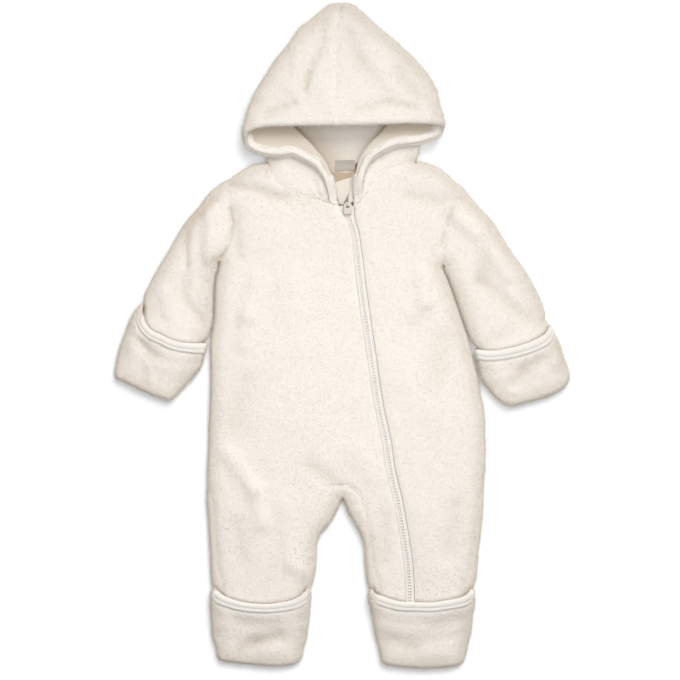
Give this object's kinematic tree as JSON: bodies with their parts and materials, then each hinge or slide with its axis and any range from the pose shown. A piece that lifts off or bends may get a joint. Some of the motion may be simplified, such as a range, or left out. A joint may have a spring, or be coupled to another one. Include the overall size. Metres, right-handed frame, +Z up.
{
  "type": "pramsuit",
  "caption": "Baby pramsuit of thick cream wool fleece laid flat on its back, with a hood, a long slanted zip, and turn-over mitts and booties with bound edges.",
  "frame": {"origin": "on the surface the suit lies on, under the centre of its outline", "axes": "+Y from the feet to the tip of the hood, +X to the right as seen in the picture, +Z up off the surface, out of the front of the suit"},
  "size_m": [0.4782, 0.6992, 0.0288],
  "materials": {
    "fleece": "thick nubby wool fleece with a short fuzzy nap, matt",
    "binding": "smoother flat-knit edge binding, lighter than the fleece, two rows of stitches",
    "zip_tape": "woven cream zip tape with a cream moulded coil",
    "zip_metal": "satin nickel-coloured metal",
    "label": "plain woven satin label, no lettering",
    "side_tab": "plain red woven tab"
  },
  "bodies": {
    "suit": {"front_left": "fleece", "front_right": "fleece", "back": "fleece", "sleeve_left": "fleece", "sleeve_right": "fleece", "hood_left": "fleece", "hood_right": "fleece", "mitt_left": "fleece", "mitt_right": "fleece", "mitt_binding_left": "binding", "mitt_binding_right": "binding", "bootie_left": "fleece", "bootie_right": "fleece", "bootie_binding_left": "binding", "bootie_binding_right": "binding", "zip_tape_left": "zip_tape", "zip_tape_right": "zip_tape", "zip_slider": "zip_metal", "zip_guard": "zip_tape", "neck_label": "label", "neck_tab": "side_tab"},
    "pull": {"zip_pull": "zip_metal"}
  },
  "joints": [
    {"name": "pull_hinge", "type": "hinge", "parent": "suit", "child": "pull", "pos_m": [0.0057, 0.13796, 0.01249], "axis": [-1, 0, 0], "range_deg": [0, 170]}
  ]
}
